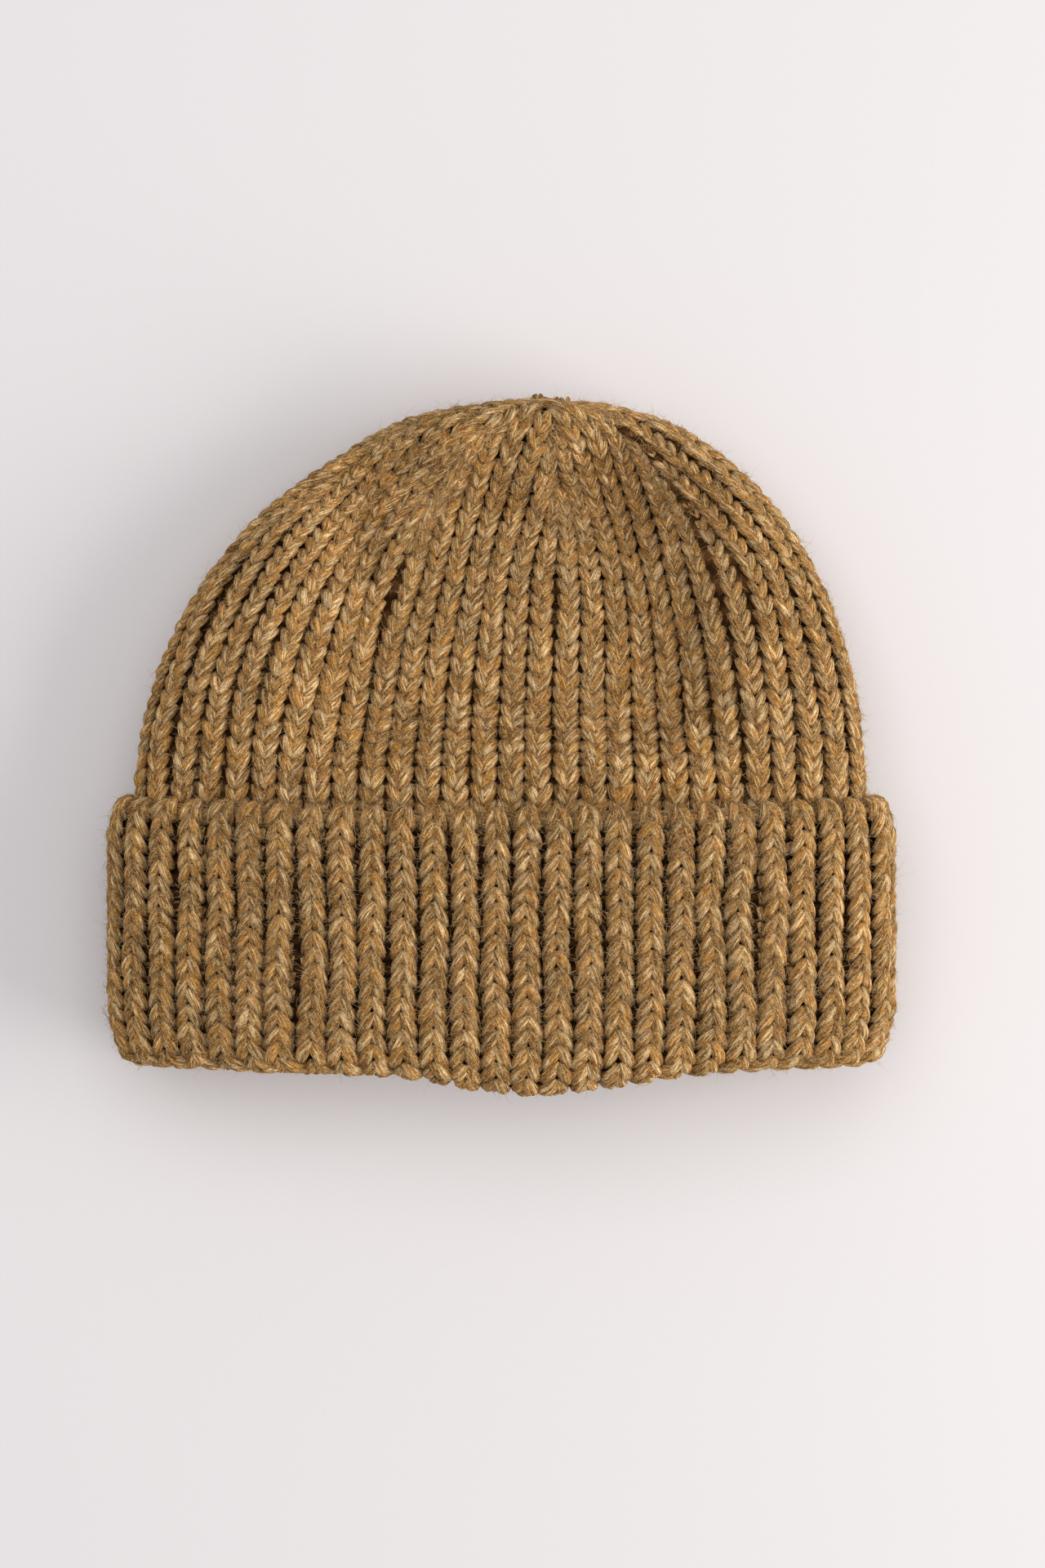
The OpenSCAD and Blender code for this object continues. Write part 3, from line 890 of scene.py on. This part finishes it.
def bare_crown(share, u, sink):
    """Crown before it settles. Below u = 0 it runs straight on under the cuff. Row angle is u
    times the last row's; the half width follows cos^(2/n) and the length sin^(2/n) of it, the
    height thins as cos^0.7, the underside presses flat, and the tip lifts and leans. Past u = 1
    the cloth draws in flat to the middle of the tip."""
    s = last_row * np.clip(u, 0, 1)
    under = under_l * np.clip(u, None, 0)
    draw = 1 - smooth(np.clip(u - 1, 0, None) / 0.12)
    reach = np.sin(s) ** (2 / dome_n)
    under_cuff = 1 - smooth(reach / settle)
    full = (crown_h - under_cuff * (crown_h - cuff_h + 2 * band_lift)) / 2
    thin = np.cos(s) ** 0.7
    middle = crown_h / 2 * thin + under_cuff * (cuff_h - crown_h) / 2 + tip_z * np.sin(s) ** 8
    angle = np.interp(share % 1, band_shares, band_angles)
    inner = np.clip(sink, 0, None)
    blunt = 1 + 0.09 * smooth((u - 0.70) / 0.2)
    x, z = outline_at(angle, (band_r - inner) * blunt * np.cos(s) ** (2 / dome_n),
                      middle - (full - inner) * thin, middle + (full - inner) * thin)
    y = crown_y0 + (crown_l - inner) * reach + 1.2 * (1 - draw) + under
    return np.stack(np.broadcast_arrays(x * draw + tip_lean * reach ** 2, y,
                                        middle + (z - middle) * draw), axis=-1)


row_shares = np.linspace(-0.2, 1.12, 260)
row_girths = crown_girth(row_shares)
# Ribs draw a sixth closer together on the way up; half a gore's room is counted in ribs
wale_pitches = row_girths[0] / ribs * (1 - 0.17 * smooth((row_shares - 0.15) / 0.3))
half_rooms = row_girths / gores / 2 / wale_pitches
least_girth = 9.0
turn_girths = np.maximum(row_girths, least_girth)


def crown_cloth(share, u, sink=rib_sink):
    """Crown as it lies, sink millimetres inside its outer face."""
    share, u = np.broadcast_arrays(share, u)
    girth = np.interp(u, row_shares, row_girths)
    return settle_front(bare_crown(share, u, sink), share, girth)


def inner_crown(share, u, sink=rib_sink):
    """Crown's inner face, sink millimetres inside it."""
    return crown_cloth(share, u, layer - sink)


# Space between a path's points as its sideways drift counts it
crown_step = 0.55


def wale_path(surface, gore, place, face, sway_rng):
    """One rib of a gore, place ribs from the gore's middle line and that far from it until it
    meets the decrease line. From there it has only the room that is left between the next rib
    and the line: it narrows a little, bends along the line and sinks until the room is gone."""
    narrowest, widest, sunk = 0.82, 1.45, 1.6
    room = np.clip(half_rooms - abs(place) + 0.5, 0, 1)
    last = len(row_shares)
    if place:
        last = max(int(np.argmax(room < 0.10)), 4)
    room, pitch = room[:last], wale_pitches[:last]
    off = pitch * (abs(place) - (1 - room) / 2) * np.sign(place)
    shares = middle_line + (gore + 0.5) / gores + off / turn_girths[:last]
    sway = wander(np.arange(last) * crown_step, sway_rng, 0.35)
    path = rib_path(surface, shares, row_shares[:last], face, sway)
    stretch = path["width"] * ribs / turn_girths[:last]
    path["width"] = pitch * np.maximum(room, narrowest) * np.clip(stretch, 1.0, widest)
    if place:
        path["points"] = path["points"] - path["normal"] * (sunk * (1 - room) ** 1.5)[:, None]
    return path


def line_path(gore, sway_rng):
    """Column of decreased stitches that runs up a gore's first edge and closes the gap between
    the ribs that end on its two sides. It comes up from under them and lies a little sunk. On
    the two raised folds it lies higher and towards the crease."""
    first = int(np.argmax(half_rooms - gore_wales // 2 + 0.5 < 0.95))
    rows = row_shares[first:np.argmax(row_shares > 0.97)]
    off = {1: -1.3, gores - 1: 1.3}.get(gore, 0.0)
    shares = middle_line + gore / gores + off / turn_girths[first:first + len(rows)]
    sway = wander(np.arange(len(rows)) * crown_step, sway_rng, 0.3)
    path = rib_path(crown_cloth, shares, rows, -1, sway)
    path["width"] = np.full(len(rows), 0.95 * wale_pitches[-1])
    sunk = (0.5 if off else 1.9) + 2.4 * np.exp(-np.arange(len(rows)) / 6)
    path["points"] = path["points"] - path["normal"] * sunk[:, None]
    return path


def growing_rows(path, pitch, grow):
    """Row starts along a path and each row's pitch, which grows towards the crown's tip."""
    total = path["run"][-1]
    at = [0.0]
    while at[-1] < total:
        near_tip = smooth((np.interp(at[-1], path["run"], path["points"][:, 1]) - 55) / 35)
        at.append(at[-1] + pitch * (1 + grow * near_tip))
    at = np.array(at)
    keep = at[:-1] + 1.1 * np.diff(at) < total
    return at[:-1][keep], np.diff(at)[keep]


# Crown stitches: yarn radius over the rib's width, what it loses towards the sides, and from
# where and over what distance; and how much rows grow at the tip, on a gore's middle rib and on
# a decrease line
crown_fat, edge_thinner, edge_from, edge_over = 0.235, 0.033, 62, 14
tip_growth, line_growth = 0.45, 0.2
for gore, name in enumerate(gore_names):
    rng = np.random.default_rng(2000 + gore)
    blocks, inside = [], []
    for place in range(-(gore_wales // 2), gore_wales // 2 + 1):
        path = wale_path(crown_cloth, gore, place, -1, rng)
        rows = growing_rows(path, crown_row, tip_growth if place == 0 else 0.0)
        fat = crown_fat - edge_thinner * smooth((np.abs(path["points"][40, 0]) - edge_from) / edge_over)
        blocks.append(rib_tubes(path, *rows, outer_sides, rng, fat=fat, core=0.415, wrap=0.96,
                                reach=1.28))
        if place < gore_wales // 2:
            path = wale_path(inner_crown, gore, place + 0.5, 1, rng)
            rows = growing_rows(path, crown_row, 0.0)
            inside.append(rib_tubes(path, *rows, inner_sides, rng, rings=5))
    path = line_path(gore, rng)
    rows = growing_rows(path, crown_row, line_growth)
    blocks.append(rib_tubes(path, *rows, outer_sides, rng, fat=0.25, core=0.40, wrap=1.0))
    hairs = fuzz(blocks, 130 if "back" in name else 400, hair_rng)
    piece = yarn_piece("crown_gore_" + name + "_ribs", blocks + inside + hairs, crown_wool)
    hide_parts("crown_gore_" + name)
    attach(piece, "hat")

crown_ground = ground_piece("crown_ground", crown_cloth, np.linspace(0, 1, 200, endpoint=False),
                            np.concatenate([np.linspace(-0.2, 1, 100), np.linspace(1, 1.1, 8)[1:]]),
                            crown_shaded_ground_wool, closed=True)
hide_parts(*["crown_gore_" + name for name in gore_names])
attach(crown_ground, "hat")

# Gathered tip. The yarn is run through the last eight stitches, pulled tight and knotted: a few
# turns of it fill the hole, and a short tuft stands out.

yarn_r = 1.35
tail_wool = wool("tail_wool", (0.25, 0.100, 0.018, 1), (0.61, 0.29, 0.065, 1),
                 (0.93, 0.64, 0.33, 1), plies=4)
# Turns of the gathering yarn, half the width of the outermost one, and the ends in the tuft
coil_turns, coil_r = 3.2, 9.5
tuft_ends, tuft_r = 7, 0.7


def strand(route, radius, sides, rng):
    """One closed tube of yarn along a route of points, thinner in the first and last sixth."""
    end = 0.35
    t = np.linspace(0, 1, len(route))
    radius = radius * (end + (1 - end) * np.minimum(1, 6 * np.minimum(t, 1 - t)))
    normal = np.broadcast_to(np.array([0.13, 0.21, 0.97]), route[None].shape)
    return yarn_tubes(route[None], normal, radius[None], sides, rng)


rng = np.random.default_rng(5)
tip = crown_cloth(np.array([0.25, 0.75]), np.array([1.0, 1.0]), 0.0)
tip_x, tip_mid = tip[:, 0].mean(), tip[:, 2].mean()
tip_half = abs(tip[0, 2] - tip[1, 2]) / 2
turns = np.linspace(0, 1, 110)
wind = 2 * np.pi * coil_turns * turns
coil = np.stack([tip_x + coil_r * (1 - 0.85 * turns) * np.cos(wind), tip_y - 1.6 - 0.8 * (1 - turns),
                 tip_mid + (tip_half - 1.4) * (1 - 0.85 * turns) * np.sin(wind)], axis=-1)
gather = [strand(coil, yarn_r, 7, rng)]
for k in range(tuft_ends):
    t = np.linspace(0, 1, 9)
    lean = rng.normal(0, 1, 3)
    start = np.array([tip_x - 1 + 1.6 * k, tip_y - 2.6, tip_mid + 2.0])
    route = start + np.stack([2.0 * t * lean[0], 2.4 * t + 0.4 * lean[1] * t,
                              1.2 * lean[2] * t ** 2], axis=-1)
    gather.append(strand(route, tuft_r, 5, rng))
crown_gather = yarn_piece("crown_gather_yarn", gather + [loose_fibres(gather[:1], 60, rng)], tail_wool)
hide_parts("crown_gather")
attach(crown_gather, "hat")

# Yarn ends. What is left of the gathering yarn hangs inside the crown, and the end of the
# cast-on lies inside the band.


def twisted_end(node, rng):
    """A loose end of plied yarn along the length of its node: two plies, each half as thick as
    the node, wound round a slightly wavy line."""
    turn_length, ply_off, ply_r, wave = 7.0, 0.45, 0.52, 0.12
    low, high = box_mm(node)
    middle, half = (low + high) / 2, (high - low) / 2
    t = np.linspace(0, 1, 60)
    y = high[1] + (low[1] - high[1]) * t
    room = min(half[0], half[2])
    plies = []
    for turn in (0.0, np.pi):
        wind = 2 * np.pi * t * (high[1] - low[1]) / turn_length + turn
        x = middle[0] + ply_off * room * np.cos(wind) + wave * room * np.sin(5 * t)
        z = middle[2] + ply_off * room * np.sin(wind)
        plies.append(strand(np.stack([x, y, z], axis=-1), ply_r * room, 7, rng))
    return plies


for node in ("crown_tail", "cast_on_tail"):
    rng = np.random.default_rng(40 + len(node))
    plies = twisted_end(node, rng)
    piece = yarn_piece(node + "_yarn", plies + [loose_fibres(plies, 25, rng)], tail_wool)
    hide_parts(node)
    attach(piece, "hat")

# Back seam. The cloth was knitted flat and its two side edges are sewn together inside the
# back, from the fold to near the tip, with the same yarn over and over the joined edges.


def seam_place(along, sink):
    """Point on the inside of the back, along 0 to 1 from the fold to near the tip."""
    in_band = 0.36
    band_point = turned_cloth(0.75, 2 + np.clip(along / in_band, 0, 1), -sink)
    crown_point = crown_cloth(0.75, 0.80 * np.clip((along - in_band) / (1 - in_band), 0, 1),
                              layer + sink)
    return np.where((along < in_band)[:, None], band_point, crown_point)


rng = np.random.default_rng(9)
# Stitches of the seam, and their half width, height and radius
seam_stitches = 46
seam_half, seam_rise, seam_r = 2.5, 1.5, 1.15
t = np.linspace(-1, 1, 9)
seam = []
for place in np.linspace(0.01, 0.99, seam_stitches):
    middle = seam_place(np.full(len(t), place) + 0.006 * t, 0.5)
    rise = seam_rise * np.cos(np.pi / 2 * t) ** 0.8
    route = middle + np.stack([seam_half * t, 0 * t, rise], axis=-1)
    seam.append(strand(route, seam_r, 6, rng))
back_seam = yarn_piece("back_seam_stitches", seam, tail_wool)
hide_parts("back_seam")
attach(back_seam, "hat")
